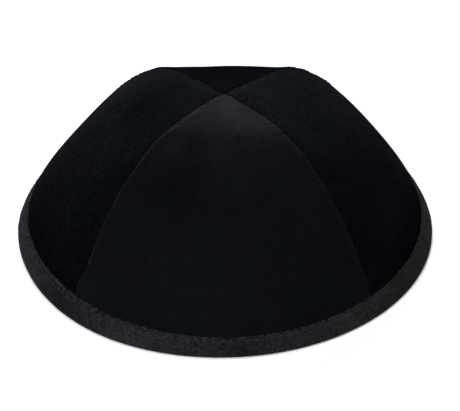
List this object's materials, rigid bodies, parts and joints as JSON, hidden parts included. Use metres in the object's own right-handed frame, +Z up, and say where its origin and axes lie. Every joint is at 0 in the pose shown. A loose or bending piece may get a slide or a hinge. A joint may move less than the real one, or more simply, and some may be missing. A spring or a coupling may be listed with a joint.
{
  "type": "kippah skullcap",
  "caption": "Brimless velvet skullcap of wedge panels whose seams cross at the top, with a folded suede band round the rim. Covers the crown of a head.",
  "frame": {"origin": "middle of the rim's resting plane, under the crossing of the seams", "axes": "+Z up, from the rim to the top of the crown; -Y the way the front panel faces; +X to the wearer's left when the front panel is worn in front"},
  "size_m": [0.1706, 0.1706, 0.066],
  "materials": {
    "velvet": "matte pile",
    "suede": "matte nap"
  },
  "bodies": {
    "root": {"front_panel": "velvet", "right_panel": "velvet", "back_panel": "velvet", "left_panel": "velvet", "rim_band": "suede"}
  },
  "joints": []
}
